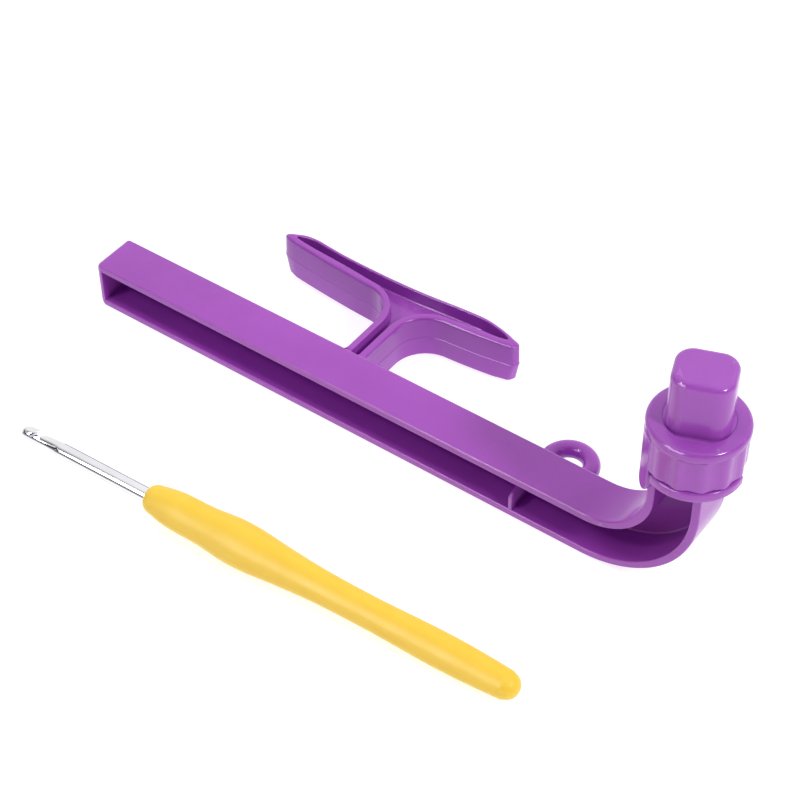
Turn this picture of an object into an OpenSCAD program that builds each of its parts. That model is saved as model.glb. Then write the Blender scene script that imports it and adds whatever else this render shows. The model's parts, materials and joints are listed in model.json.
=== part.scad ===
// Yarn arm of a hobby knitting machine, with its loose crochet hook.
// +Z is up and everything rests on z = 0. X runs along the arm: the closed tail is at -X and the
// turning head at +X. The channel is open towards -Y, and the yarn rest and eyelet stand out at +Y.
// The origin is on the arm's underside, in the middle of the channel's depth, below the rest's stem.

/* [Arm] */
// Rest's stem to the closed tail
tail_l = 69.5; // [55:0.5:100]
// Rest's stem to the turning axis of the head
reach_l = 91; // [80:1:130]
// Depth of the channel, from its open front to its back face
arm_d = 11.8; // [10.5:0.1:14]
// Height of the channel
arm_h = 12.5; // [11.5:0.1:14]
// Thickness of the channel's walls
wall = 1.9; // [1.5:0.1:2.2]
// Thickness of the channel's back
web_t = 2.4; // [2.2:0.1:3.5]
// Radius of the tail's outer corners
tail_r = 1.3; // [0.8:0.1:1.8]
// Radius of the bend, on the side towards the tail
bend_r = 14.6; // [12:0.2:16]
// Distance from the neck's centre line to the turning axis
neck_shift = 0.75; // [0.4:0.05:1]
// Height of the seat that the head turns on
seat_z = 38.5; // [36:0.5:42]
// Thickness of the seat
seat_t = 2.3; // [2:0.1:3]
// Rest's stem to the rib inside the channel
rib_x = 50.2; // [20:1:60]
// Thickness of that rib
rib_t = 1.1; // [0.8:0.1:2]

/* [Stop flange] */
// Radius of the flange that stops the head's lug
flange_r = 10.75; // [10.5:0.05:11.5]
// Angle at which the flange starts, from +X
flange_from = 245; // [243:1:260]
// Angle that the flange covers
flange_sweep = 120; // [60:5:130]

/* [Yarn rest] */
// Reach of the rest's left wing from its stem
left_wing = 39.3; // [30:0.5:45]
// Reach of the rest's right wing from its stem
right_wing = 29.4; // [25:0.5:40]
// Y of the crossbar's back face, between the wings
bar_back = 32; // [30:0.5:36]
// Y of the crossbar's front face, beside the stem
bar_front = 26.2; // [25:0.2:27]
// How much farther out the crossbar's front is at the wing tips
wing_sweep = 1.8; // [1:0.1:2]
// Width of the stem
stem_w = 6; // [5:0.2:8]
// Width of the slot in the stem
slot_w = 2.1; // [1.6:0.1:2.6]
// Radius of the outer curve between the stem and a wing
root_r = 8.5; // [6:0.5:10]
// Thickness of the crossbar's back wall
back_wall = 1.2; // [1:0.1:1.6]
// Depth of the slot from the top
slot_depth = 3.6; // [2:0.2:6]
// Thickness of the floor under the slot
slot_floor = 2; // [1.5:0.1:3]
// Height of the rest's underside over the arm's
rest_lift = 0.6; // [0:0.1:1]

/* [Eyelet] */
// Rest's stem to the eyelet's centre
eye_x = 56.5; // [40:0.5:62]
// Y of the eyelet's centre
eye_y = 9.7; // [9.6:0.1:11]
// Radius of the eyelet's hole
eye_r = 3; // [2.5:0.1:3.4]
// Radius of the ring's outside
eye_out_r = 7; // [6.6:0.1:7.5]
// Radius of the ring's own thickness
eye_tube_r = 2.1; // [1.9:0.05:2.3]

/* [Turning head] */
// Outside radius of the fluted collar
collar_r = 10.55; // [10.3:0.05:10.7]
// Height of the fluted collar
collar_h = 8.6; // [7:0.2:12]
// Number of flutes
flutes = 13; // [8:1:20]
// Depth of a flute
flute_depth = 0.4; // [0.2:0.05:0.6]
// Radius of the rim
rim_r = 10.85; // [10.7:0.05:11.5]
// Thickness of the rim at its edge
rim_t = 1.9; // [1.6:0.1:2.6]
// How much higher the rim is beside the plug than at its edge
rim_rise = 0.9; // [0.3:0.1:1.5]
// Radius of the round recess that the plug stands in
recess_r = 7.5; // [7.4:0.1:8]
// Depth of that recess
recess_depth = 0.8; // [0.5:0.1:1.4]
// Long side of the plug
plug_a = 13.2; // [12:0.2:14]
// Short side of the plug
plug_b = 11.8; // [11:0.2:13]
// Radius of the plug's corners
plug_r = 3.8; // [3:0.1:4.5]
// Height of the plug's top
plug_top = 63.4; // [58:0.2:70]
// Angle of the plug to the arm, as it lies
plug_turn = 20.4; // [0:0.1:45]
// Angle at which the lug starts, from +X
lug_from = 204; // [190:1:210]
// Angle that the lug covers
lug_sweep = 36; // [20:1:38]
// Height of the lug's lower end
lug_z = 31.2; // [29:0.2:34]

/* [Crochet hook] */
// Overall length of the hook
hook_l = 131; // [125:0.5:145]
// Thickness of the steel shaft
shaft_d = 3.5; // [3:0.25:4]
// Length of shaft in front of the grip
bare_l = 36; // [30:1:45]
// Thickness of the handle behind the thumb bulge
handle_d = 7.1; // [6.6:0.1:8]
// Thickness of the thumb bulge
bulge_d = 10.4; // [9.5:0.1:12]
// Where the hook's tip lies, along X and Y
hook_at = [-49.6, -53.3];
// Turn of the hook, seen from above
hook_yaw = 2.6; // [0:0.1:6]
// Drop of the hook from its tip to its tail, in degrees
hook_pitch = 1.35; // [1:0.05:1.6]
// Direction of the hook's mouth, from +Y up to +Z
mouth_turn = 55; // [0:5:90]

/* [Hidden] */
$fn = 72;
plastic = [0.60, 0.33, 0.72];
// How far a joined solid runs into its neighbour, and a cutter past what it cuts
eps = 0.01;
past = 1;
big = 60;

arm_back = arm_d / 2;
bend_x = reach_l - neck_shift - arm_h / 2 - bend_r;
bend_z = arm_h + bend_r;
seat_r = 9.2;
press = 0.02;
run_gap = 0.05;

// The rib's mouth
mouth_r = 1.8;
mouth_depth = 2.2;
mouth_z = arm_h - wall - mouth_r - 0.4;

// Where the rest's stem and the eyelet are plugged into the arm's back
tenon = 1.5;
tenon_w = 3.2;
tenon_inset = 2.5;
peg_r = 1;
peg_x = 3;
eye_mid_r = eye_out_r - eye_tube_r;

// The crossbar: [place, height, width] of the swell over each wing, and the slot's ends
swell_left = [-30.5, 1.05, 6];
swell_right = [17, 1.55, 7.5];
nose_r = 2.2;
bar_step = 1.5;
slot_in = wall + 0.05;
slot_left = -left_wing + 3.6;
slot_right = right_wing - 2.5;
slot_steps = 40;

// The head
head_gap = 0.15;
collar_z = seat_z + head_gap;
rim_z = collar_z + collar_h;
rim_top = rim_z + rim_t + rim_rise;
spigot_r = 8;
skin = 1.7;
boss_r = 4.2;
flute_r = 6;
flute_first = -66.5;
lug_r = 10.75;
lug_in_r = 9.45;
lug_top_gap = 0.4;

// The snap axle
axle_r = 2.4;
axle_head_r = 3.3;
axle_head_h = 1.4;
snap_z = seat_z + 13.5;
snap_h = 3;
snap_r = 3;
barb_play = 0.1;
barb_low_r = 2.8;
barb_top_r = 1.8;
barb_h = 2.4;
split_w = 1;
split_depth = 5;

// The hook: its head, throat and shank, as distances from the tip and shares of the shaft's radius
nose_l = 2.6;
nose_share = 0.94;
throat = [[4.2, 0.88], [5.6, 0.8]];
shank_from = 11;
hook_mouth = [3.3, 1.5, 4];
mouth_lean = -35;

// The grip: [place, height, width] of its swells, and how far its ends take to round off
bulge_at = bare_l + 24.5;
bulge_w = [9.5, 13];
neck_swell = [bare_l + 7, 0.9, 6];
palm_swell = [bare_l + 75, 0.35, 11];
front_round = 5;
tail_round = 3.5;
grip_end_r = 2.4;
core_r = 2.7;
core_from = bare_l + 3;
core_to = hook_l - 8;
shaft_to = bare_l + 42;

// ---- arm ----

// Side outline of the arm, with its whole edge moved in by inset
module arm_outline(inset, top) {
    corner = max(tail_r - inset, 0.2);
    run = bend_x + tail_l - inset;
    translate([inset - tail_l, inset]) {
        translate([corner, 0]) square([run - corner, arm_h - 2 * inset]);
        translate([0, corner]) square([corner, arm_h - 2 * inset - 2 * corner]);
        for (z = [corner, arm_h - 2 * inset - corner])
            translate([corner, z]) circle(corner);
    }
    translate([bend_x, bend_z]) intersection() {
        difference() {
            circle(bend_r + arm_h - inset);
            circle(bend_r + inset);
        }
        translate([0, -big]) square(big);
    }
    translate([bend_x + bend_r + inset, bend_z])
        square([arm_h - 2 * inset, top - bend_z]);
}

// Stands a side outline up, from y back to y - depth
module stand(y, depth) {
    translate([0, y, 0]) rotate([90, 0, 0]) linear_extrude(depth) children();
}

// Round seat on top of the neck, with the flange that stops the lug
module seat() {
    translate([reach_l, 0, seat_z - seat_t]) {
        cylinder(h = seat_t, r = seat_r);
        rotate([0, 0, flange_from]) rotate_extrude(angle = flange_sweep)
            translate([seat_r - past, 0]) square([flange_r - seat_r + past, seat_t]);
    }
}

// Rib across the channel, with a mouth that opens to the front above its lower half
module rib() {
    difference() {
        translate([rib_x, -arm_back, wall - eps])
            cube([rib_t, arm_d - web_t + eps, arm_h - 2 * wall + 2 * eps]);
        translate([rib_x - past, -arm_back + mouth_depth, mouth_z]) rotate([0, 90, 0])
            cylinder(h = rib_t + 2 * past, r = mouth_r);
        translate([rib_x - past, -arm_back - past, mouth_z - mouth_r])
            cube([rib_t + 2 * past, mouth_depth + past, 2 * mouth_r]);
    }
}

// Short block that plugs the rest's stem into the arm's back
module rest_tenon(grow) {
    translate([-tenon_w / 2 - grow, arm_back - tenon, tenon_inset - grow])
        cube([tenon_w + 2 * grow, tenon + 2 * past, arm_h - 2 * tenon_inset + 2 * grow]);
}

// The eyelet's two pegs
module eyelet_pegs(grow) {
    for (side = [-1, 1])
        translate([eye_x + side * peg_x, arm_back + past, arm_h / 2]) rotate([90, 0, 0])
            cylinder(h = tenon + past, r = peg_r + grow);
}

module arm_channel() {
    color(plastic) {
        difference() {
            union() {
                stand(arm_back, arm_d) arm_outline(0, seat_z);
                seat();
            }
            stand(arm_back - web_t, arm_d) arm_outline(wall, seat_z - seat_t);
            translate([reach_l, 0, seat_z - seat_t - past]) cylinder(h = seat_t + 2 * past, r = axle_r);
            rest_tenon(0);
            eyelet_pegs(0);
        }
        rib();
    }
}

// ---- yarn rest ----

// Height at x of a smooth swell given as [place, height, width]
function swell(x, s) = s[1] * exp(-pow((x - s[0]) / s[2], 2));
// Back face of the crossbar: it swells over each wing
function back_y(x) = bar_back + swell(x, swell_left) + swell(x, swell_right);
// Front face of the crossbar: it leans out towards each wing's tip
function front_y(x) = bar_front
    + wing_sweep * max(0, abs(x) - root_r - stem_w / 2) / (right_wing - root_r - stem_w / 2 - nose_r);
// Share of the slot's full width left at x: it closes towards both tips
function slot_share(x, from, to) = sqrt(max(0, 1 - pow((2 * x - from - to) / (to - from), 6)));

// Square-cornered web minus a circle: the curve between the stem and a wing
module root_curve(side, half_w, r) {
    mirror([side < 0 ? 1 : 0, 0]) difference() {
        square([stem_w / 2 + root_r, bar_front + root_r]);
        translate([stem_w / 2 + root_r, bar_front - root_r]) circle(r);
        translate([half_w - big, 0]) square([big - half_w, bar_front - root_r]);
        translate([-eps, -big]) square([big, big + bar_front - root_r]);
        translate([-eps, bar_front + root_r - r / 2]) square(big);
    }
}

module rest_outline() {
    left = -left_wing + nose_r;
    right = right_wing - nose_r;
    xs = [for (x = [left : bar_step : right]) x];
    translate([-stem_w / 2, arm_back]) square([stem_w, bar_front - arm_back + past]);
    for (side = [-1, 1]) root_curve(side, stem_w / 2, root_r);
    polygon(concat([for (x = xs) [x, front_y(x)]],
                   [for (i = [len(xs) - 1 : -1 : 0]) [xs[i], back_y(xs[i])]]));
    for (x = [left, xs[len(xs) - 1]])
        translate([x, (front_y(x) + back_y(x)) / 2]) circle((back_y(x) - front_y(x)) / 2);
}

module rest_slot() {
    xs = [for (i = [0 : slot_steps]) slot_left + (slot_right - slot_left) * i / slot_steps];
    front = [for (x = xs) front_y(x) + slot_in];
    back = [for (i = [0 : slot_steps])
        front[i] + (back_y(xs[i]) - back_wall - front[i]) * slot_share(xs[i], slot_left, slot_right)];
    translate([-slot_w / 2, arm_back + eps]) square([slot_w, bar_front - arm_back + slot_in + past]);
    for (side = [-1, 1]) root_curve(side, slot_w / 2, root_r + (stem_w - slot_w) / 2);
    polygon(concat([for (i = [0 : slot_steps]) [xs[i], front[i]]],
                   [for (i = [slot_steps - 1 : -1 : 1]) [xs[i], back[i]]]));
}

module yarn_rest() {
    floor_z = arm_h - slot_depth - slot_floor;
    color(plastic) {
        difference() {
            translate([0, 0, rest_lift]) linear_extrude(arm_h - rest_lift) rest_outline();
            translate([0, 0, arm_h - slot_depth]) linear_extrude(slot_depth + past) rest_slot();
            translate([0, 0, rest_lift - past]) linear_extrude(floor_z - rest_lift + past) rest_slot();
        }
        rest_tenon(press);
    }
}

// ---- eyelet ----

module yarn_eyelet() {
    color(plastic) {
        intersection() {
            translate([eye_x, eye_y, arm_h / 2]) rotate_extrude() intersection() {
                translate([eye_mid_r, 0]) circle(eye_tube_r);
                translate([eye_r, -big / 2]) square(big);
            }
            translate([eye_x - big / 2, arm_back, 0]) cube([big, big, big]);
        }
        eyelet_pegs(press);
    }
}

// ---- turning head ----

// Bar with rounded corners, centred on Z
module rounded_bar(a, b, r, h) {
    translate([-a / 2 + r, -b / 2, 0]) cube([a - 2 * r, b, h]);
    translate([-a / 2, -b / 2 + r, 0]) cube([a, b - 2 * r, h]);
    for (x = [-1, 1], y = [-1, 1])
        translate([x * (a / 2 - r), y * (b / 2 - r), 0]) cylinder(h = h, r = r);
}

// Snap axle: pressed into the seat, with a split barb that holds the head down
module pivot_axle() {
    color("whitesmoke") translate([reach_l, 0, 0]) difference() {
        union() {
            translate([0, 0, seat_z - seat_t - axle_head_h]) cylinder(h = axle_head_h, r = axle_head_r);
            translate([0, 0, seat_z - seat_t]) cylinder(h = seat_t, r = axle_r + press);
            translate([0, 0, seat_z])
                cylinder(h = snap_z - seat_z + 2 * barb_play, r = axle_r - run_gap);
            translate([0, 0, snap_z + barb_play])
                cylinder(h = barb_h, r1 = barb_low_r, r2 = barb_top_r);
        }
        translate([-split_w / 2, -axle_r - past, snap_z - split_depth])
            cube([split_w, 2 * (axle_r + past), split_depth + snap_h + past]);
    }
}

// Rim and plug, with the round recess that the plug stands in
module plug_and_rim() {
    difference() {
        union() {
            translate([0, 0, rim_z]) cylinder(h = rim_t, r = rim_r);
            translate([0, 0, rim_z + rim_t]) cylinder(h = rim_rise, r1 = rim_r, r2 = recess_r - past / 2);
        }
        translate([0, 0, rim_top - recess_depth]) cylinder(h = recess_depth + past, r = recess_r);
    }
    translate([0, 0, rim_top - recess_depth - eps]) rotate([0, 0, plug_turn])
        rounded_bar(plug_a, plug_b, plug_r, plug_top - rim_top + recess_depth + eps);
}

module plug_head() {
    color(plastic) translate([reach_l, 0, 0]) difference() {
        union() {
            difference() {
                union() {
                    translate([0, 0, collar_z]) cylinder(h = collar_h + eps, r = spigot_r + press);
                    plug_and_rim();
                }
                translate([0, 0, collar_z - past]) cylinder(h = collar_h + past, r = spigot_r - skin);
                translate([0, 0, rim_z - eps]) rotate([0, 0, plug_turn])
                    rounded_bar(plug_a - 2 * skin, plug_b - 2 * skin, plug_r - skin,
                                plug_top - rim_z - skin);
            }
            translate([0, 0, collar_z]) cylinder(h = plug_top - collar_z - skin / 2, r = boss_r);
        }
        translate([0, 0, collar_z - past]) cylinder(h = snap_z - collar_z + past + eps, r = axle_r);
        translate([0, 0, snap_z]) cylinder(h = snap_h, r = snap_r);
    }
}

module grip_collar() {
    color(plastic) translate([reach_l, 0, 0]) {
        translate([0, 0, collar_z]) difference() {
            cylinder(h = collar_h, r = collar_r);
            translate([0, 0, -past]) cylinder(h = collar_h + 2 * past, r = spigot_r);
            for (i = [0 : flutes - 1]) rotate([0, 0, flute_first + i * 360 / flutes])
                translate([collar_r + flute_r - flute_depth, 0, -past])
                    cylinder(h = collar_h + 2 * past, r = flute_r);
        }
        translate([0, 0, lug_z]) rotate([0, 0, lug_from]) rotate_extrude(angle = lug_sweep)
            translate([lug_in_r, 0]) square([lug_r - lug_in_r, rim_z - lug_top_gap - lug_z]);
    }
}

// ---- crochet hook ----

// Puts a hook piece, built along +X from its tip, where the hook lies
module lay_hook() {
    tip_z = bulge_d / 2 + bulge_at * sin(hook_pitch);
    translate([hook_at[0], hook_at[1], tip_z]) rotate([0, hook_pitch, hook_yaw]) children();
}

// Turns an outline of [distance from tip, radius] points about the hook's axis
module spin(points) {
    rotate([0, 90, 0]) rotate([0, 0, 90]) rotate_extrude()
        polygon([for (p = points) [p[1], p[0]]]);
}

// Radius of the soft grip at distance s from the tip
function grip_r(s) = handle_d / 2
    + swell(s, [bulge_at, (bulge_d - handle_d) / 2, bulge_w[s < bulge_at ? 0 : 1]])
    + swell(s, neck_swell) + swell(s, palm_swell);
// Share left of a radius at distance s from an end that rounds off over reach
function round_off(s, reach) = sqrt(max(0, 1 - pow(max(0, 1 - s / reach), 2)));
function end_share(s) = round_off(s - bare_l, front_round) * round_off(hook_l - s, tail_round);

module hook_shaft() {
    r = shaft_d / 2;
    nose = [for (a = [0 : 10 : 90]) [nose_l * (1 - cos(a)), nose_share * r * sin(a)]];
    neck = [for (t = throat) [t[0], t[1] * r]];
    color("lightgray") lay_hook() difference() {
        spin(concat([[0, 0]], nose, neck, [[shank_from, r], [shaft_to, r], [shaft_to, 0]]));
        rotate([mouth_turn, 0, 0]) translate([hook_mouth[0], r / 2, 0]) rotate([0, 0, mouth_lean])
            translate([0, -r / 3, -big / 2]) cube([hook_mouth[1], hook_mouth[2], big]);
    }
}

module grip_core() {
    color("gainsboro") lay_hook() rotate([0, 90, 0]) difference() {
        translate([0, 0, core_from]) cylinder(h = core_to - core_from, r = core_r + press);
        translate([0, 0, core_from - past])
            cylinder(h = shaft_to - core_from + past, r = shaft_d / 2 - press);
    }
}

module soft_grip() {
    count = 84;
    span = hook_l - bare_l;
    ss = [for (i = [0 : count]) bare_l + span * i / count];
    least = [for (s = ss) s < hook_l - past ? grip_end_r : 0];
    outside = [for (i = [0 : count]) [ss[i], max(grip_r(ss[i]) * end_share(ss[i]), least[i])]];
    color("gold") lay_hook() difference() {
        spin(concat([[bare_l, 0]], outside));
        rotate([0, 90, 0]) {
            translate([0, 0, core_from]) cylinder(h = core_to - core_from, r = core_r);
            translate([0, 0, bare_l - past])
                cylinder(h = core_from - bare_l + 2 * past, r = shaft_d / 2 - press);
        }
    }
}

arm_channel();
yarn_rest();
yarn_eyelet();
pivot_axle();
plug_head();
grip_collar();
hook_shaft();
grip_core();
soft_grip();
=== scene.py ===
"""Looks of the knitting machine's yarn arm and crochet hook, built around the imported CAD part.

Lengths are in millimetres while a shape is worked out; loops_mesh() turns them into metres.
A piece is a stack of closed loops of points, joined loop to loop, with a cap at both ends.
"""

import json
import math

import bmesh
import bpy
from mathutils import Matrix, Vector


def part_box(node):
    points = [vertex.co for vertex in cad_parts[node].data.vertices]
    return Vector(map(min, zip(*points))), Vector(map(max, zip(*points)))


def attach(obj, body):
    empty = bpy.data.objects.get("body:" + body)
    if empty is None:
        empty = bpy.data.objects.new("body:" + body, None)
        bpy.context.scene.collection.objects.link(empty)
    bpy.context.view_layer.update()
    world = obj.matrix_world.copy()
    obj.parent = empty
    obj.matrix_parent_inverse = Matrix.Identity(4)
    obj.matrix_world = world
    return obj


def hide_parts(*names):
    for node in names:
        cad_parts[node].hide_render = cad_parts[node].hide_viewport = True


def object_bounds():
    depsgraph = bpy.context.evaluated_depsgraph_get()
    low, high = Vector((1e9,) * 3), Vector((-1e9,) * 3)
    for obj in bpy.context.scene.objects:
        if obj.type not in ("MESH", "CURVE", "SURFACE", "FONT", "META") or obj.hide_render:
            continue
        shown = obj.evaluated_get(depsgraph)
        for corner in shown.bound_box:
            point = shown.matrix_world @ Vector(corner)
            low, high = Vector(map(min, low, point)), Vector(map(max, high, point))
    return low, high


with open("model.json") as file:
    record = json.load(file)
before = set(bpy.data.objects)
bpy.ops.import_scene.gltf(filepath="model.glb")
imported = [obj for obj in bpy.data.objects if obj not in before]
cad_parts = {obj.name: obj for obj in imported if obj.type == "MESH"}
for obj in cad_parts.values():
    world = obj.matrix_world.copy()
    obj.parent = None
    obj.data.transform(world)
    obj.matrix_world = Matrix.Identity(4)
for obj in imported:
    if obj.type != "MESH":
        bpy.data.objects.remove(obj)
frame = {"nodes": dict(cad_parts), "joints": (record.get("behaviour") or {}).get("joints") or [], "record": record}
cad_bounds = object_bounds()

MM = 0.001


# ---- what the frame says ----

def box_mm(node):
    low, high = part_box(node)
    return low / MM, high / MM


def joint_place(name):
    joint = next(j for j in frame["joints"] if j["name"] == name)
    return Vector(joint["pos_m"]) / MM


def mount_place(name):
    mount = next(m for m in frame["record"]["mounts"] if m["name"] == name)
    return Vector(mount["pos_m"]) / MM


ARM_LOW, ARM_HIGH = box_mm("arm_channel")
REST_LOW, REST_HIGH = box_mm("yarn_rest")
EYE_LOW = box_mm("yarn_eyelet")[0]
HEAD_LOW, HEAD_HIGH = box_mm("plug_head")
COLLAR_LOW, COLLAR_HIGH = box_mm("grip_collar")
SHAFT_LOW = box_mm("hook_shaft")[0]
AXIS = joint_place("head_turn")
EYE = mount_place("yarn_eye")

# The eyelet's pegs reach EYE_PEG into the arm's back, and the rest's top is level with the arm's
EYE_PEG = 1.5
TAIL_X = ARM_LOW.x
SEAT_Z = ARM_HIGH.z
ARM_H = REST_HIGH.z
HALF_D = EYE_LOW.y + EYE_PEG


# ---- building meshes ----

def arc(cx, cy, r, start, end, count):
    """Points on an arc, both ends included, angles in degrees"""
    turns = [math.radians(start + (end - start) * i / (count - 1)) for i in range(count)]
    return [(cx + r * math.cos(t), cy + r * math.sin(t)) for t in turns]


def line(a, b, count):
    """Points on a line, both ends included"""
    return [tuple(p + (q - p) * i / (count - 1) for p, q in zip(a, b)) for i in range(count)]


def curve(points, per_span=8):
    """Catmull-Rom curve through the points"""
    ends = [2 * Vector(points[0]) - Vector(points[1]), 2 * Vector(points[-1]) - Vector(points[-2])]
    knots = [ends[0]] + [Vector(p) for p in points] + [ends[1]]
    out = []
    for a, b, c, d in zip(knots, knots[1:], knots[2:], knots[3:]):
        for i in range(per_span):
            t = i / per_span
            out.append(tuple(0.5 * (2 * b + (c - a) * t + (2 * a - 5 * b + 4 * c - d) * t * t
                                    + (3 * b - a - 3 * c + d) * t ** 3)))
    return out + [tuple(knots[-2])]


def resample(points, count):
    """The same polyline as count points an equal way apart, both ends included"""
    along = [0.0]
    for p, q in zip(points, points[1:]):
        along.append(along[-1] + math.dist(p, q))
    out, k = [], 0
    for i in range(count):
        want = along[-1] * i / (count - 1)
        while k < len(along) - 2 and along[k + 1] < want:
            k += 1
        share = (want - along[k]) / max(along[k + 1] - along[k], 1e-9)
        out.append(tuple(p + (q - p) * share for p, q in zip(points[k], points[k + 1])))
    return out


def inset(loop, amount):
    """A closed, anticlockwise 2D loop moved inwards by amount"""
    out = []
    for i, p in enumerate(loop):
        before, after = loop[i - 1], loop[(i + 1) % len(loop)]
        side = Vector((after[0] - before[0], after[1] - before[1])).normalized()
        out.append((p[0] - side.y * amount, p[1] + side.x * amount))
    return out


def steps(start, end, count):
    """Numbers from start to end, both included"""
    return [start + (end - start) * i / (count - 1) for i in range(count)]


def quarter(count):
    """(sine, cosine) pairs over a quarter turn, for rounding an edge"""
    return [(math.sin(a), math.cos(a)) for a in steps(0, math.pi / 2, count)]


def smoothstep(low, high, x):
    t = min(max((x - low) / (high - low), 0), 1)
    return t * t * (3 - 2 * t)


def loops_mesh(name, loops, matrix=None, ring=False):
    """A closed mesh through loops of equal length: a ring meets itself, anything else is capped"""
    count, rows = len(loops[0]), len(loops)
    verts = [Vector(p) * MM for loop in loops for p in loop]
    if matrix is not None:
        verts = [matrix @ v for v in verts]
    faces = []
    for row in range(rows if ring else rows - 1):
        low, high = row * count, (row + 1) % rows * count
        for i in range(count):
            j = (i + 1) % count
            faces.append((low + i, low + j, high + j, high + i))
    if not ring:
        faces.append(tuple(range(count))[::-1])
        faces.append(tuple(range((rows - 1) * count, rows * count)))
    mesh = bpy.data.meshes.new(name)
    mesh.from_pydata(verts, [], faces)
    tidy(mesh)
    return mesh


def tidy(mesh, weld=0.002):
    """Welds points that lie within weld, drops collapsed faces and turns every face outwards"""
    bm = bmesh.new()
    bm.from_mesh(mesh)
    bmesh.ops.remove_doubles(bm, verts=bm.verts, dist=weld * MM)
    bmesh.ops.dissolve_degenerate(bm, edges=bm.edges, dist=weld * MM / 2)
    bmesh.ops.recalc_face_normals(bm, faces=bm.faces)
    bm.to_mesh(mesh)
    bm.free()


def combine(mesh, other, operation):
    """mesh with other joined on or cut away"""
    holder = bpy.data.objects.new("holder", mesh)
    tool = bpy.data.objects.new("tool", other)
    for o in (holder, tool):
        bpy.context.scene.collection.objects.link(o)
    cut = holder.modifiers.new("cut", "BOOLEAN")
    cut.operation = operation
    cut.solver = "EXACT"
    cut.object = tool
    depsgraph = bpy.context.evaluated_depsgraph_get()
    result = bpy.data.meshes.new_from_object(holder.evaluated_get(depsgraph))
    for o in (holder, tool):
        bpy.data.objects.remove(o)
    tidy(result, weld=0.0005)
    return result


def piece(name, mesh, material, body, slot, *nodes):
    """Puts a finished mesh in the scene, in place of CAD nodes"""
    crease = math.radians(32)
    mesh.name = name
    mesh.materials.clear()
    mesh.materials.append(material)
    for face in mesh.polygons:
        face.use_smooth = True
    mesh.set_sharp_from_angle(angle=crease)
    obj = bpy.data.objects.new(name, mesh)
    bpy.context.scene.collection.objects.link(obj)
    flat = obj.modifiers.new("flat faces stay flat", "WEIGHTED_NORMAL")
    flat.keep_sharp = True
    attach(obj, body)
    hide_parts(*nodes)


# ---- materials ----

RANGE_SOCKETS = "From Min", "From Max", "To Min", "To Max"


class Shader:
    """A node material with short names for the nodes it needs"""

    def __init__(self, name):
        self.material = bpy.data.materials.new(name)
        self.material.use_nodes = True
        self.tree = self.material.node_tree
        self.tree.nodes.clear()
        self.out = self.node("OutputMaterial")
        self.surface = self.node("BsdfPrincipled")
        self.join(self.surface.outputs["BSDF"], self.out.inputs["Surface"])
        self.place = self.node("TexCoord").outputs["Object"]

    def node(self, kind, **settings):
        made = self.tree.nodes.new("ShaderNode" + kind)
        for key, value in settings.items():
            setattr(made, key, value)
        return made

    def join(self, source, target):
        self.tree.links.new(source, target)

    def set(self, **values):
        for key, value in values.items():
            socket = self.surface.inputs[key.replace("_", " ")]
            if hasattr(value, "is_linked"):
                self.join(value, socket)
            else:
                socket.default_value = value

    def noise(self, per_metre, detail, stretch=(1, 1, 1)):
        """Noise from 0 to 1, stretched along an axis when wanted"""
        mapping = self.node("Mapping")
        mapping.inputs["Scale"].default_value = stretch
        self.join(self.place, mapping.inputs["Vector"])
        made = self.node("TexNoise")
        made.inputs["Scale"].default_value = per_metre
        made.inputs["Detail"].default_value = detail
        self.join(mapping.outputs["Vector"], made.inputs["Vector"])
        return made.outputs["Fac"]

    def varied(self, per_metre, detail, start, end, low=0.3, high=0.7):
        """Noise that wanders between start and end"""
        return self.ramp(self.noise(per_metre, detail), low, high, start, end)

    def ramp(self, value, low, high, start, end):
        """value from low to high turned into start to end"""
        made = self.node("MapRange")
        self.join(value, made.inputs["Value"])
        for socket, number in zip(RANGE_SOCKETS, (low, high, start, end)):
            made.inputs[socket].default_value = number
        return made.outputs["Result"]

    def mix(self, share, a, b):
        """Colour a where share is 0 and b where it is 1"""
        made = self.node("Mix", data_type="RGBA")
        for socket, value in zip((made.inputs[0], made.inputs[6], made.inputs[7]), (share, a, b)):
            if hasattr(value, "is_linked"):
                self.join(value, socket)
            else:
                socket.default_value = value if isinstance(value, float) else (*value[:3], 1)
        return made.outputs[2]

    def times(self, *factors):
        """The product of single values"""
        total = factors[0]
        for factor in factors[1:]:
            made = self.node("Math", operation="MULTIPLY")
            self.join(total, made.inputs[0])
            self.join(factor, made.inputs[1])
            total = made.outputs[0]
        return total

    def along_y(self, vector):
        """The Y part of a vector"""
        split = self.node("SeparateXYZ")
        self.join(vector, split.inputs[0])
        return split.outputs["Y"]

    def edges(self):
        """1 on sharp outer edges, 0 elsewhere"""
        return self.ramp(self.node("NewGeometry").outputs["Pointiness"], 0.51, 0.56, 0, 1)

    def bump(self, height, depth, strength, onto=None):
        """A surface normal for a height from 0 to 1, depth being in millimetres"""
        made = self.node("Bump")
        made.inputs["Strength"].default_value = strength
        made.inputs["Distance"].default_value = depth * MM
        self.join(height, made.inputs["Height"])
        if onto is not None:
            self.join(onto, made.inputs["Normal"])
        return made.outputs["Normal"]


def scaled(colour, share):
    return tuple(c * share for c in colour)


def back_wall(s):
    """1 on the channel's back wall, which faces its opening, and 0 elsewhere; it marks where shade is painted"""
    before, behind, soft = 3 * MM, 6 * MM, 1 * MM
    facing, y = s.along_y(s.node("NewGeometry").outputs["Normal"]), s.along_y(s.place)
    deep_in = s.times(s.ramp(y, before - soft, before, 0, 1), s.ramp(y, behind, behind + soft, 1, 0))
    return s.times(s.ramp(facing, -0.97, -0.9, 1, 0), deep_in)


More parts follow.
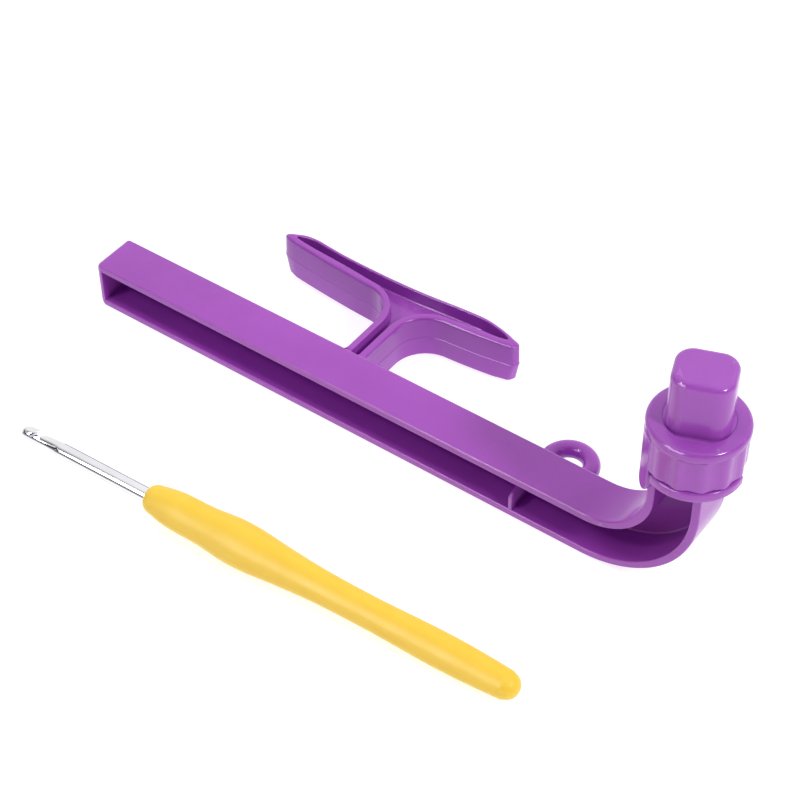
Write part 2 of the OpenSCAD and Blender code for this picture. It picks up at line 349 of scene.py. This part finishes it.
def purple_plastic(name, base, edge):
    """Glossy moulded plastic: slightly wavy from the mould and a shade lighter where an edge has rubbed;
    painted shade on the channel's back wall: a darker base colour and less gloss there"""
    s = Shader(name)
    shaded_back_wall = back_wall(s)
    cloudy = s.mix(s.varied(45, 4, 0, 1, 0.35, 0.65), base, scaled(base, 0.9))
    # painted shade: the base colour falls to 0.76 of itself on the channel's back wall, standing in for the shade
    # in the hollow
    tone = s.mix(shaded_back_wall, cloudy, scaled(base, 0.76))
    rubbed = s.times(s.edges(), s.varied(240, 5, 0.1, 0.5))
    s.set(Base_Color=s.mix(rubbed, tone, edge))
    s.set(Roughness=s.varied(130, 5, 0.15, 0.22))
    wave = s.bump(s.noise(70, 2), 0.06, 0.6)
    s.set(Normal=s.bump(s.noise(2600, 3), 0.004, 0.35, wave))
    # painted shade: less specular and no coat on the channel's back wall, so the hollow reflects less light
    s.set(IOR=1.46, Specular_IOR_Level=s.ramp(shaded_back_wall, 0, 1, 0.5, 0.1))
    s.set(Coat_Weight=s.ramp(shaded_back_wall, 0, 1, 0.08, 0), Coat_Roughness=0.08)
    s.set(Subsurface_Weight=0.12, Subsurface_Radius=(1.0, 0.35, 1.0), Subsurface_Scale=1.2 * MM)
    return s.material


def soft_yellow(name, base, shade):
    """Satin soft grip: fine matt grain with a faint sheen"""
    s = Shader(name)
    tone = s.mix(s.varied(50, 4, 0, 1, 0.35, 0.65), base, shade)
    pale = tuple(min(c * 1.05 + 0.02, 1) for c in base)
    s.set(Base_Color=s.mix(s.varied(170, 5, 0, 0.35, 0.35, 0.7), tone, pale))
    s.set(Roughness=s.varied(220, 5, 0.42, 0.52))
    wave = s.bump(s.noise(60, 2), 0.1, 0.4)
    s.set(Normal=s.bump(s.noise(3200, 4), 0.012, 0.5, wave))
    s.set(Sheen_Weight=0.08, Sheen_Roughness=0.5)
    s.set(Subsurface_Weight=0.2, Subsurface_Radius=(1.0, 0.6, 0.15), Subsurface_Scale=1.5 * MM)
    return s.material


def polished_metal(name, tone, brushed, dark_reflection_colour):
    """Bright metal, drawn lengthwise, with a few handling marks and a painted dark reflection along its lower
    front side
    """
    dark_reflection_way = 0, -0.777, -0.629
    s = Shader(name)
    facing = s.node("VectorMath", operation="DOT_PRODUCT")
    s.join(s.node("NewGeometry").outputs["Normal"], facing.inputs[0])
    facing.inputs[1].default_value = dark_reflection_way
    side = facing.outputs["Value"]
    # painted reflection: a dark band in the base colour where the normal faces down and to the front, standing in
    # for a dark surround mirrored in the rod
    painted_dark_reflection = s.times(s.ramp(side, 0.22, 0.30, 0, 0.9), s.ramp(side, 0.50, 0.60, 1, 0))
    bright = s.mix(s.varied(150, 4, 0, 1), tone, brushed)
    s.set(Metallic=1.0, Base_Color=s.mix(painted_dark_reflection, bright, dark_reflection_colour))
    s.set(Roughness=s.varied(260, 5, 0.03, 0.07, 0.3, 0.75))
    s.set(Normal=s.bump(s.noise(900, 4, (0.04, 1, 1)), 0.006, 0.5))
    return s.material


def dull_plastic(name, base):
    """Natural moulded plastic of the hidden parts"""
    s = Shader(name)
    s.set(Base_Color=s.mix(s.varied(80, 4, 0, 1, 0.35, 0.65), base, scaled(base, 0.85)))
    s.set(Roughness=s.varied(300, 5, 0.4, 0.55))
    s.set(Normal=s.bump(s.noise(1800, 3), 0.01, 0.4))
    return s.material


ARM_PLASTIC = purple_plastic("arm purple", (0.375, 0.064, 0.50), (0.50, 0.20, 0.62))
HEAD_PLASTIC = purple_plastic("head purple", (0.38, 0.078, 0.51), (0.50, 0.20, 0.62))
GRIP_YELLOW = soft_yellow("grip yellow", (0.965, 0.615, 0.032), (0.95, 0.60, 0.030))
# the last colour of the hook metal is its painted dark reflection
HOOK_METAL = polished_metal("hook metal", (0.80, 0.80, 0.825), (0.72, 0.72, 0.75), (0.12, 0.11, 0.12))
AXLE_PLASTIC = dull_plastic("axle plastic", (0.72, 0.72, 0.69))
CORE_PLASTIC = dull_plastic("core plastic", (0.6, 0.6, 0.57))


# ---- arm ----
# BEND_R is the inner side's radius; the channel's open side is at -HALF_D and its back wall at FLOOR_Y

WALL = 1.9
BEND_R = 14.6
NECK_SHIFT = 0.75
NECK_X = AXIS.x - NECK_SHIFT - ARM_H / 2
BEND_X = NECK_X - BEND_R
BEND_Z = ARM_H + BEND_R
PLATE_T = 2.3
PLATE_LOW = SEAT_Z - PLATE_T
FLOOR_Y = 4.0
TAIL_TOP_R, TAIL_LOW_R = 1.3, 1.5


def arm_loop(depth, y, top):
    """Side outline of the arm, moved in by depth, at one y"""
    neck_out = NECK_X + ARM_H - depth
    upper, lower = max(TAIL_TOP_R, depth), max(TAIL_LOW_R, depth)
    side = line((NECK_X + depth, top), (NECK_X + depth, BEND_Z), 3)
    side += arc(BEND_X, BEND_Z, BEND_R + depth, 0, -90, 33)
    side += arc(TAIL_X + upper, ARM_H - upper, upper - depth, 90, 180, 10)
    side += arc(TAIL_X + lower, lower, lower - depth, 180, 270, 8)
    side += arc(BEND_X, BEND_Z, BEND_R + ARM_H - depth, -90, 0, 41)
    side += line((neck_out, BEND_Z), (neck_out, top), 3)
    return [(x + tail_pull(x, y), y, z) for x, z in side]


def tail_pull(x, y):
    """How far the tail's end wall is drawn in, where its upright edges round off"""
    front, behind, reach = 1.6, 0.8, WALL
    t = max(0, 1 - (y + HALF_D) / front) * front, max(0, 1 - (HALF_D - y) / behind) * behind
    pull = sum(r - math.sqrt(r * r - min(a, r) ** 2) for a, r in zip(t, (front, behind)))
    return pull * min(max((TAIL_X + reach - x) / reach, 0), 1)


def arm_shell():
    """The channel as (depth, y) rows: down from its back, over the front lip and into the hollow"""
    back_round, lip_round, inner_round, floor_round = 0.55, 0.4, 0.3, 0.35
    tail_steps = 1.6, 1.3, 1.05, 0.8, 0.6
    draft, under_plate, inside_plate = 0.12, PLATE_LOW - 0.02, PLATE_LOW + 1
    rows = [(back_round * (1 - s), HALF_D - back_round * (1 - c)) for s, c in quarter(6)]
    rows += [(0, -HALF_D + y) for y in tail_steps]
    rows += [(lip_round * (1 - c), -HALF_D + lip_round * (1 - s)) for s, c in quarter(6)]
    rows += [(WALL - inner_round * (1 - s), -HALF_D + inner_round * (1 - c)) for s, c in quarter(5)]
    deep = WALL + draft
    rows += [(deep + floor_round * (1 - c), FLOOR_Y - floor_round * (1 - s)) for s, c in quarter(6)]
    loops = [arm_loop(d, y, inside_plate if d < WALL else under_plate) for d, y in rows]
    return loops_mesh("arm", loops)


def rib_mesh():
    """Rib across the channel, with a mouth that opens to the front above its lower half"""
    left, thick, soft = 50.6, 0.9, 0.12
    sunk_in, sunk_back = 0.6, 0.8
    low, high = WALL - sunk_in, ARM_H - WALL + sunk_in
    front, back = -5.75, FLOOR_Y + sunk_back
    mouth = [(-5.2, 6.05), (-4.6, 6.4), (-3.4, 6.55), (-2.4, 7.0), (-1.9, 8.0), (-2.1, 9.1), (-3.0, 9.9),
             (-4.4, 10.15), (-5.6, 10.2)]
    outline = [(back, low), (back, high), (front, high)]
    outline += curve(mouth[::-1], 4) + arc(-5.1, 5.45, 0.6, 90, 180, 5) + [(-5.7, low)]
    flat = resample(outline + outline[:1], 121)[:-1]

    def at(x, amount):
        return [(x, y, z) for y, z in inset(flat, amount)]

    loops = [at(left + soft * (1 - c), soft * (1 - s)) for s, c in quarter(4)]
    loops += [at(left + thick - soft * (1 - s), soft * (1 - c)) for s, c in quarter(4)]
    return loops_mesh("rib", loops)


def turned(name, loops, ring=False):
    """A mesh from loops that are given about the turning axis"""
    placed = [[(AXIS.x + x, AXIS.y + y, z) for x, y, z in loop] for loop in loops]
    return loops_mesh(name, placed, ring=ring)


def ring_angles(count):
    return [2 * math.pi * i / count for i in range(count)]


def polar(radius, z, angles):
    """A loop round the turning axis; radius and z are numbers or functions of the angle"""
    reach = radius if callable(radius) else (lambda a: radius)
    level = z if callable(z) else (lambda a: z)
    return [(reach(a) * math.cos(a), reach(a) * math.sin(a), level(a)) for a in angles]


def between(a, start, end, soft):
    """1 for an angle between start and end, in degrees, falling to 0 over soft degrees outside"""
    off = abs((math.degrees(a) - (start + end) / 2 + 180) % 360 - 180)
    return 1 - smoothstep(0, soft, off - (end - start) / 2)


def plate_mesh():
    """The seat that the head turns on, with the flange that stops its lug"""
    disc_r, flange_r, rim_round, low_round = 9.2, 10.75, 0.45, 0.25
    flange_from, flange_to, soft = 245, 365, 3
    angles = ring_angles(360)

    def reach(off):
        return lambda a: disc_r + (flange_r - disc_r) * between(a, flange_from, flange_to, soft) - off

    loops = [polar(reach(low_round * (1 - s)), PLATE_LOW + low_round * (1 - c), angles)
             for s, c in quarter(4)]
    loops += [polar(reach(rim_round * (1 - c)), SEAT_Z - rim_round * (1 - s), angles)
              for s, c in quarter(6)]
    return turned("plate", loops)


arm_mesh = combine(arm_shell(), rib_mesh(), "UNION")
arm_mesh = combine(arm_mesh, plate_mesh(), "UNION")
piece("arm_moulding", arm_mesh, ARM_PLASTIC, "arm", "arm_plastic", "arm_channel")


# ---- yarn rest ----

REST_BASE = REST_LOW.z
REST_TOP = ARM_H - 0.1
PARTING_Z = ARM_H / 2
STEM_FOOT = HALF_D - 1.2
OUT_HALF, SLOT_HALF = 3.0, 1.05
ARC_X, ARC_Y = 11.5, 17.7
BACK_MIDDLE = [(16.1, 33.5), (10.6, 33.15), (5.2, 32.65), (-0.3, 32.25), (-6.1, 32.05), (-12, 32.0),
               (-21.2, 32.2)]


def mirrored(points):
    return [(-x, y) for x, y in points]


def rest_loop(half, arc_top, foot, flare, fronts, tips, back):
    """Closed plan outline of the rest, anticlockwise from the stem's foot at +X; half is half the stem"""
    root = [(ARC_X - (ARC_X - half) * math.cos(a), ARC_Y + (arc_top - ARC_Y) * math.sin(a))
            for a in steps(0, math.pi / 2, 24)]
    stem = line((half, foot), (half, ARC_Y), 2)
    if flare:
        stem = [(half + flare, foot)] + arc(half + flare, HALF_D + flare, flare, 270, 180, 8) + stem[1:]
    right, left = fronts
    parts = [resample(stem, 16), resample(root, 22), resample(curve([root[-1]] + right), 22),
             resample(curve(tips[0]), 20), resample(curve(back), 90), resample(curve(tips[1]), 20),
             resample(curve(left + mirrored([root[-1]])), 30), resample(mirrored(root)[::-1], 22),
             resample(mirrored(stem)[::-1], 16)]
    loop = []
    for part in parts:
        loop += part[:-1]
    return loop + [parts[-1][-1]]


def rest_outer():
    right = [(16, 26.75), (21, 27.3), (25.5, 27.95), (27.6, 28.3)]
    right_tip = [(27.6, 28.3), (28.5, 28.5), (29.0, 28.95), (29.3, 29.6), (29.5, 30.25), (29.2, 30.8),
                 (28.5, 31.15), (27.6, 31.4)]
    back = [(27.6, 31.4), (25.6, 32.05), (22.2, 32.9), (18.9, 33.45)]
    back += BACK_MIDDLE
    back += [(-27.6, 32.7), (-31, 33.0), (-34.2, 32.75), (-36.8, 31.9)]
    left_tip = [(-36.8, 31.9), (-38.4, 31.2), (-39.25, 30.45), (-39.0, 29.6), (-37.9, 29.0), (-36.0, 28.55)]
    left = [(-36.0, 28.55), (-30, 27.85), (-24, 27.25), (-17, 26.7)]
    root_y, root_flare = 26.4, 0.8
    return rest_loop(OUT_HALF, root_y, STEM_FOOT, root_flare, (right, left), (right_tip, left_tip), back)


def rest_slot():
    right = [(13.7, 28.5), (19.1, 29.1), (24.3, 29.65), (26.3, 29.95)]
    right_tip = [(26.3, 29.95), (27.0, 30.08), (27.2, 30.22), (26.9, 30.4), (26.2, 30.65)]
    back_wall_t = 1.1
    back = [(26.2, 30.65), (24.6, 31.2), (22.0, 31.85), (18.8, 32.35)]
    back += [(x, y - back_wall_t) for x, y in BACK_MIDDLE]
    back += [(-27.6, 31.55), (-31, 31.85), (-33.6, 31.65), (-35.6, 31.0)]
    left_tip = [(-35.6, 31.0), (-36.3, 30.75), (-36.55, 30.55), (-36.3, 30.4), (-35.7, 30.3)]
    left = [(-35.7, 30.3), (-31.5, 29.75), (-25.1, 29.3), (-18.6, 28.85)]
    root_y, foot = 28.15, HALF_D - 0.3
    return rest_loop(SLOT_HALF, root_y, foot, 0, (right, left), (right_tip, left_tip), back)


def tip_pull(x, z):
    """How far a wing's tip is drawn in, where its end rounds off at the top and the bottom"""
    low_r, top_r, reach, full = 2.6, 1.2, 4.5, 0.5
    tip = REST_HIGH.x if x > 0 else REST_LOW.x
    off = max(0, REST_BASE + low_r - z), max(0, z - REST_TOP + top_r)
    pull = sum(r - math.sqrt(r * r - min(a, r) ** 2) for a, r in zip(off, (low_r, top_r)))
    return math.copysign(pull, x) * smoothstep(reach, full, abs(tip - x))


def rest_mesh():
    """The rest as a stack from the web's underside, out over the rims and back to the web's top"""
    outer, slot = rest_outer(), rest_slot()
    web_top, web_low = 8.9, 3.4
    rim, slot_rim, web_round, draft = 0.7, 0.22, 0.5, 0.1
    seam = (0.02, -0.12), (-0.05, -0.03), (-0.05, 0.03), (0.02, 0.12)

    def at(loop, z):
        return [(x - tip_pull(x, z), y, z) for x, y in loop]

    wide = [smoothstep(24, 16, x) * smoothstep(-32, -22, x) for x, y in slot]

    def web_row(amount, z):
        """The slot moved in by amount, less towards its tips, where it is too narrow for that"""
        moved = inset(slot, amount)
        return [(x + (u - x) * w, y + (v - y) * w, z) for (x, y), (u, v), w in zip(slot, moved, wide)]

    def slot_side(sign, rim_z, web_z):
        rows = [at(inset(slot, -slot_rim * (1 - s)), rim_z - sign * slot_rim * (1 - c))
                for s, c in quarter(5)]
        rows += [web_row(draft + web_round * (1 - c), web_z + sign * web_round * (1 - s))
                 for s, c in quarter(6)]
        return rows

    loops = slot_side(-1, REST_BASE, web_low)[::-1]
    loops += [at(inset(outer, draft + rim * (1 - s)), REST_BASE + rim * (1 - c)) for s, c in quarter(7)]
    loops += [at(inset(outer, amount), PARTING_Z + z) for amount, z in seam]
    loops += [at(inset(outer, draft + rim * (1 - c)), REST_TOP - rim * (1 - s)) for s, c in quarter(7)]
    loops += slot_side(1, REST_TOP, web_top)
    return loops_mesh("rest", loops)


piece("yarn_rest_moulding", rest_mesh(), ARM_PLASTIC, "arm", "arm_plastic", "yarn_rest")


# ---- eyelet ----

def eyelet_mesh():
    """A round ring that swells a little where it runs into the arm"""
    ring_r, tube_r, swell, sunk_in = 5.04, 2.05, 0.3, 1.4
    loops = []
    for a in ring_angles(144):
        tube = tube_r + swell * smoothstep(-0.55, -0.95, math.sin(a))
        loop = []
        for b in ring_angles(40):
            reach = ring_r + tube * math.cos(b)
            y = max(EYE.y + reach * math.sin(a), HALF_D - sunk_in)
            loop.append((EYE.x + reach * math.cos(a), y, EYE.z + tube * math.sin(b)))
        loops.append(loop)
    return loops_mesh("eyelet", loops, ring=True)


piece("eyelet_ring", eyelet_mesh(), ARM_PLASTIC, "arm", "arm_plastic", "yarn_eyelet")


# ---- turning head ----

RIM_LOW = COLLAR_HIGH.z
RIM_EDGE = RIM_LOW + 2.5
RIM_TOP = RIM_LOW + 2.75
RIM_R = 10.78
FLUTES = 13
FLUTE_FIRST = -66.5
LUG_SPAN = 204, 240
BAND_R, GROOVE_R = 10.65, 10.22
BAND_LOW = SEAT_Z + 0.15
SPIGOT_R = 8.0
PLUG_TURN = math.radians(20.4)


def flute_share(a):
    """0 on a crest between two flutes, 1 in the middle of a flute; there are no flutes beside the lug"""
    sharpness, lug_side = 1.3, 12
    wave = 0.5 - 0.5 * math.cos((a - math.radians(FLUTE_FIRST)) * FLUTES)
    return (1 - wave ** sharpness) * (1 - between(a, *LUG_SPAN, lug_side))


def band_mesh():
    """The fluted band, a ring round the plug's spigot, in rows from its top down its outside"""
    edge = 0.3
    low, high = BAND_LOW, RIM_LOW
    shoulder = (edge, 0.6, high), (0.12, 0.8, high - 0.1), (0, 1, high - 0.35), (0, 1, low + edge * 2)
    angles = ring_angles(520)

    def reach(off, depth=1):
        return lambda a: BAND_R - off - (BAND_R - GROOVE_R) * depth * flute_share(a)

    loops = [polar(SPIGOT_R, high, angles)]
    loops += [polar(reach(off, depth), z, angles) for off, depth, z in shoulder]
    loops += [polar(reach(edge * (1 - c)), low + edge * (1 - s), angles) for s, c in quarter(5)]
    loops += [polar(SPIGOT_R, low, angles)]
    return turned("band", loops, ring=True)


def lug_mesh():
    """The stop that hangs from the band: a flat outline wrapped round the axis"""
    inner, outer = 9.42, 10.76
    start, end = math.radians(LUG_SPAN[0]) * outer, math.radians(LUG_SPAN[1] - 1) * outer
    low, high = COLLAR_LOW.z, RIM_LOW - 0.1
    corner, end_corner, soft = 2.2, 3.3, 0.35
    outline = [(start, high)]
    outline += arc(start + corner, low + corner, corner, 180, 270, 9)
    outline += arc(end - end_corner, low + end_corner, end_corner, 270, 360, 12)
    outline += [(end, high)]
    flat = resample(outline + outline[:1], 161)[:-1]

    def wrap(loop, r):
        return [(AXIS.x + r * math.cos(u / outer), AXIS.y + r * math.sin(u / outer), v) for u, v in loop]

    loops = [wrap(inset(flat, soft * (1 - s)), inner + soft * (1 - c)) for s, c in quarter(5)]
    loops += [wrap(inset(flat, soft * (1 - c)), outer - soft * (1 - s)) for s, c in quarter(5)]
    return loops_mesh("lug", loops)


def plug_loop(grow, z, angles):
    """The plug's rounded square with half sides a and b, grown outwards by grow, met along each angle"""
    a, b, r = 6.55 + grow, 5.86 + grow, 3.9 + grow
    out = []
    for turn in angles:
        local = turn - PLUG_TURN
        c, s = abs(math.cos(local)), abs(math.sin(local))
        reach = min(a / max(c, 1e-9), b / max(s, 1e-9))
        if reach * c > a - r and reach * s > b - r:
            dot = (a - r) * c + (b - r) * s
            gap = (a - r) ** 2 + (b - r) ** 2 - r * r
            reach = dot + math.sqrt(max(dot * dot - gap, 0))
        out.append((reach * math.cos(turn), reach * math.sin(turn), z))
    return out


def recess_floor(a):
    """Height of the recess round the plug's foot: shallow, and deeper in front"""
    shallow, deeper = 0.08, 0.72
    return RIM_TOP - shallow - deeper * between(a, 255, 330, 30)


def head_mesh():
    """Plug, rim and spigot in rows from the axle's bore, out under the rim and up to the plug's top"""
    angles = ring_angles(240)
    low, top = HEAD_LOW.z, HEAD_HIGH.z
    bore_r, snap_r, bore_top, snap_top = 2.42, 3.0, low + 13.35, low + 16.4
    rim_under, low_round, rim_round = RIM_LOW + 0.02, 0.4, 1.1
    recess_r, lip_round, clear = 7.4, 0.3, 0.08
    draft, base_round, top_round = 0.12, 0.7, 1.4
    inside = (snap_r, snap_top), (snap_r, bore_top), (bore_r, bore_top), (bore_r, low), (SPIGOT_R, low)
    loops = [polar(r, z, angles) for r, z in inside + ((SPIGOT_R, rim_under),)]
    loops += [polar(RIM_R - low_round * (1 - s), rim_under + low_round * (1 - c), angles)
              for s, c in quarter(5)]
    loops += [polar(RIM_R - rim_round * (1 - c), RIM_EDGE - rim_round * (1 - s), angles)
              for s, c in quarter(8)]
    crown = [(RIM_R - rim_round, RIM_EDGE), (8.9, RIM_EDGE + 0.14), (8.2, RIM_TOP - 0.03),
             (recess_r + lip_round, RIM_TOP)]
    loops += [polar(r, z, angles) for r, z in curve(crown, 4)[1:]]

    def lip(down):
        return lambda a: RIM_TOP - (RIM_TOP - recess_floor(a)) * down

    loops += [polar(recess_r + lip_round * (1 - s), lip(1 - c), angles) for s, c in quarter(6)]
    for s, c in quarter(8):
        foot = plug_loop(draft + base_round * (1 - s), base_round * (1 - c), angles)
        held = [min(1, (recess_r - clear) / math.hypot(x, y)) for x, y, z in foot]
        loops.append([(x * k, y * k, z + recess_floor(a)) for (x, y, z), k, a in zip(foot, held, angles)])
    loops += [plug_loop(-top_round * (1 - c), top - top_round * (1 - s), angles) for s, c in quarter(8)]
    return turned("head", loops)


collar_mesh = combine(band_mesh(), lug_mesh(), "UNION")
piece("fluted_collar", collar_mesh, HEAD_PLASTIC, "turning_head", "head_plastic", "grip_collar")
piece("plug_and_rim", head_mesh(), HEAD_PLASTIC, "turning_head", "head_plastic", "plug_head")


# ---- crochet hook ----

# The hook lies on its grip's bulge, its own X running from the tip to the grip's end

HOOK_YAW, HOOK_PITCH = math.radians(2.6), math.radians(1.35)
HOOK_Y = -53.3
SHAFT_R = 1.75
BARE_L, HOOK_L = 36.0, 131.0
BULGE_AT, BULGE_R = 60.5, 5.2
MOUTH_TURN = math.radians(-35)
HOOK_TIP = Vector((SHAFT_LOW.x, HOOK_Y, BULGE_R + BULGE_AT * math.sin(HOOK_PITCH)))
HOOK_PLACE = (Matrix.Translation(HOOK_TIP * MM) @ Matrix.Rotation(HOOK_YAW, 4, "Z")
              @ Matrix.Rotation(HOOK_PITCH, 4, "Y"))


def spindle(name, profile):
    """Turns (distance along the hook, radius) points about the hook's axis"""
    loops = [[(s, r * math.cos(a), r * math.sin(a)) for a in ring_angles(96)] for s, r in profile]
    return loops_mesh(name, loops, HOOK_PLACE)


def grip_profile():
    """(distance, radius) from the grip's round shoulder over its bulge and waist to its round end"""
    end_l, end_r, end_flat = 2.9, 2.95, 0.12
    front = [(BARE_L - 0.1, 2.05), (BARE_L, 2.5), (BARE_L + 0.35, 2.85), (BARE_L + 1.2, 3.3)]
    middle = [(38.8, 3.62), (40.4, 3.93), (43.3, 4.30), (46.3, 4.42), (49.2, 4.42), (52.2, 4.55),
              (55.1, 4.83), (58, 5.10), (60.8, 5.18), (63.7, 5.09), (66.6, 4.85), (69.4, 4.58),
              (72.2, 4.33), (75, 4.12), (77.8, 3.92), (80.6, 3.76), (83.4, 3.65), (88.9, 3.56),
              (92.6, 3.54), (97, 3.57), (102.4, 3.70), (107.8, 3.83), (111.4, 3.88), (115.7, 3.85),
              (119, 3.76), (122.4, 3.60), (125.5, 3.44), (128.2, 3.25)]
    end = [(HOOK_L - end_l + end_l * s, end_r * c + end_flat) for s, c in quarter(12)][1:]
    return curve(front + middle, 5) + end


def shaft_mesh():
    """The rod: a bullet head, a slim throat with a flat facet over it, and a round shank; at each place
    its reach above and below the axis and to each side is given"""
    sunk_in, end_soft = 4, 0.4
    at = [0.0, 0.15, 0.5, 1.0, 1.8, 2.8, 3.6, 4.3, 4.9, 5.4, 6.5, 8.0, 9.4, 10.2, 10.9, 11.6]
    above = [0.2, 0.62, 1.1, 1.42, 1.68, 1.75, 1.75, 1.68, 1.45, 1.35, 1.4, 1.5, 1.58, 1.65, 1.72, SHAFT_R]
    below = [0.2, 0.6, 1.05, 1.32, 1.52, 1.62, 1.62, 1.6, 1.56, 1.54, 1.54, 1.56, 1.6, 1.65, 1.72, SHAFT_R]
    wide = [0.2, 0.62, 1.1, 1.4, 1.62, 1.62, 1.5, 1.38, 1.3, 1.27, 1.27, 1.28, 1.32, 1.45, 1.66, SHAFT_R]
    rows = curve(list(zip(at, above, below, wide)), 6)
    end = BARE_L + sunk_in
    shank = (20, SHAFT_R), (end, SHAFT_R), (end + end_soft, SHAFT_R - end_soft)
    rows += [(s, r, r, r) for s, r in shank]
    loops = [[(s, -half * math.sin(a), (up + down) / 2 * math.cos(a) + (up - down) / 2)
              for a in ring_angles(64)] for s, up, down, half in rows]
    mouth = HOOK_PLACE @ Matrix.Rotation(MOUTH_TURN, 4, "X")
    return combine(loops_mesh("shaft", loops, mouth), mouth_tool(mouth), "DIFFERENCE")


def mouth_tool(place):
    """What the mouth is cut with: a narrow round-bottomed slot that leans back from the tip"""
    start, floor_z, lean = 3.15, 0.15, math.radians(-48)
    half_w, flare, tall, past = 0.42, 0.9, 3.6, 4
    slot = [(half_w * math.cos(a), half_w * math.sin(a)) for a in steps(math.pi, 2 * math.pi, 17)]
    slot += [(half_w + flare, tall), (-half_w, tall)]
    c, s = math.cos(lean), math.sin(lean)
    side = [(start + x * c - y * s, floor_z + x * s + y * c) for x, y in slot]
    return loops_mesh("mouth", [[(x, y, z) for x, z in side] for y in (-past, past)], place)


piece("hook_rod", shaft_mesh(), HOOK_METAL, "hook", "hook_metal", "hook_shaft")
piece("grip_skin", spindle("grip", grip_profile()), GRIP_YELLOW, "hook", "grip_rubber", "soft_grip")


# ---- CAD nodes kept as they are ----

for node_name, material in (("pivot_axle", AXLE_PLASTIC), ("grip_core", CORE_PLASTIC)):
    node_mesh = frame["nodes"][node_name].data
    node_mesh.materials.clear()
    node_mesh.materials.append(material)


# ---- floor, light and camera ----

# Places and sizes here are in metres

def floor():
    """A white sheet just under the part, which glows a little so that it shows no edge"""
    half, gap = 3.0, 0.1 * MM
    corners = [(-half, -half, 0), (half, -half, 0), (half, half, 0), (-half, half, 0)]
    mesh = bpy.data.meshes.new("floor")
    mesh.from_pydata(corners, [], [(0, 1, 2, 3)])
    obj = bpy.data.objects.new("floor", mesh)
    bpy.context.scene.collection.objects.link(obj)
    obj.location.z = min(cad_bounds[0].z, 0) - gap
    s = Shader("floor white")
    s.set(Base_Color=s.mix(s.varied(6, 3, 0, 1), (0.36, 0.36, 0.36), (0.34, 0.34, 0.345)))
    s.set(Roughness=0.6, Emission_Color=(1, 1, 1, 1), Emission_Strength=0.8)
    mesh.materials.append(s.material)


def softbox(name, place, aim, size, power, mirrored_only=False):
    """A lit card; mirrored_only means that it is seen in gloss and lights nothing"""
    data = bpy.data.lights.new(name, "AREA")
    data.shape = "RECTANGLE"
    data.size, data.size_y = size
    data.energy = power
    obj = bpy.data.objects.new(name, data)
    bpy.context.scene.collection.objects.link(obj)
    obj.location = place
    obj.rotation_euler = (Vector(aim) - Vector(place)).to_track_quat("-Z", "Y").to_euler()
    obj.visible_diffuse = not mirrored_only


def camera():
    """At the photograph's angle: azimuth is turned from -Y towards +X"""
    azimuth, elevation, roll = math.radians(36.198), math.radians(44.939), math.radians(-0.422)
    away, aim = 0.498497, Vector((0.010206, 0.00943, 0))
    back = Vector((math.sin(azimuth) * math.cos(elevation), -math.cos(azimuth) * math.cos(elevation),
                   math.sin(elevation)))
    right = Vector((math.cos(azimuth), math.sin(azimuth), 0))
    up = back.cross(right)
    side = right * math.cos(roll) + up * math.sin(roll)
    top = up * math.cos(roll) - right * math.sin(roll)
    data = bpy.data.cameras.new("camera")
    data.sensor_width, data.lens = 36, 95.94
    data.clip_start = 0.01
    obj = bpy.data.objects.new("camera", data)
    bpy.context.scene.collection.objects.link(obj)
    turn = Matrix((side, top, back)).transposed().to_4x4()
    obj.matrix_world = Matrix.Translation(aim + back * away) @ turn
    bpy.context.scene.camera = obj


def sky():
    """A white studio, bright overhead and behind, dim in front"""
    bright_way = Vector((-0.35, 0.6, 0.72)).normalized()
    spread_over = 0.12, 0.8, 0.04, 1.1
    world = bpy.data.worlds.new("studio")
    bpy.context.scene.world = world
    world.use_nodes = True
    tree = world.node_tree
    coords = tree.nodes.new("ShaderNodeTexCoord")
    facing = tree.nodes.new("ShaderNodeVectorMath")
    facing.operation = "DOT_PRODUCT"
    facing.inputs[1].default_value = bright_way
    spread = tree.nodes.new("ShaderNodeMapRange")
    spread.interpolation_type = "SMOOTHSTEP"
    for socket, value in zip(RANGE_SOCKETS, spread_over):
        spread.inputs[socket].default_value = value
    tree.links.new(coords.outputs["Generated"], facing.inputs[0])
    tree.links.new(facing.outputs["Value"], spread.inputs["Value"])
    back = tree.nodes["Background"]
    back.inputs["Color"].default_value = (1, 1, 1, 1)
    tree.links.new(spread.outputs["Result"], back.inputs["Strength"])


floor()
softbox("key", (1.05, -0.10, 0.97), (0.05, 0, 0.03), (0.22, 0.22), 9.3)
softbox("fill", (-0.43, -0.69, 1.01), (0.02, 0, 0.01), (0.12, 0.12), 2.2)
softbox("front strip", (-0.46, -0.90, 0.44), (-0.03, -0.05, 0.01), (1.2, 0.28), 0.95)
softbox("front card", (-0.169, -0.86, 0.48), (0.03, 0, 0.01), (0.65, 0.573), 9.4, mirrored_only=True)
camera()
sky()
bpy.context.scene.view_settings.view_transform = "Standard"
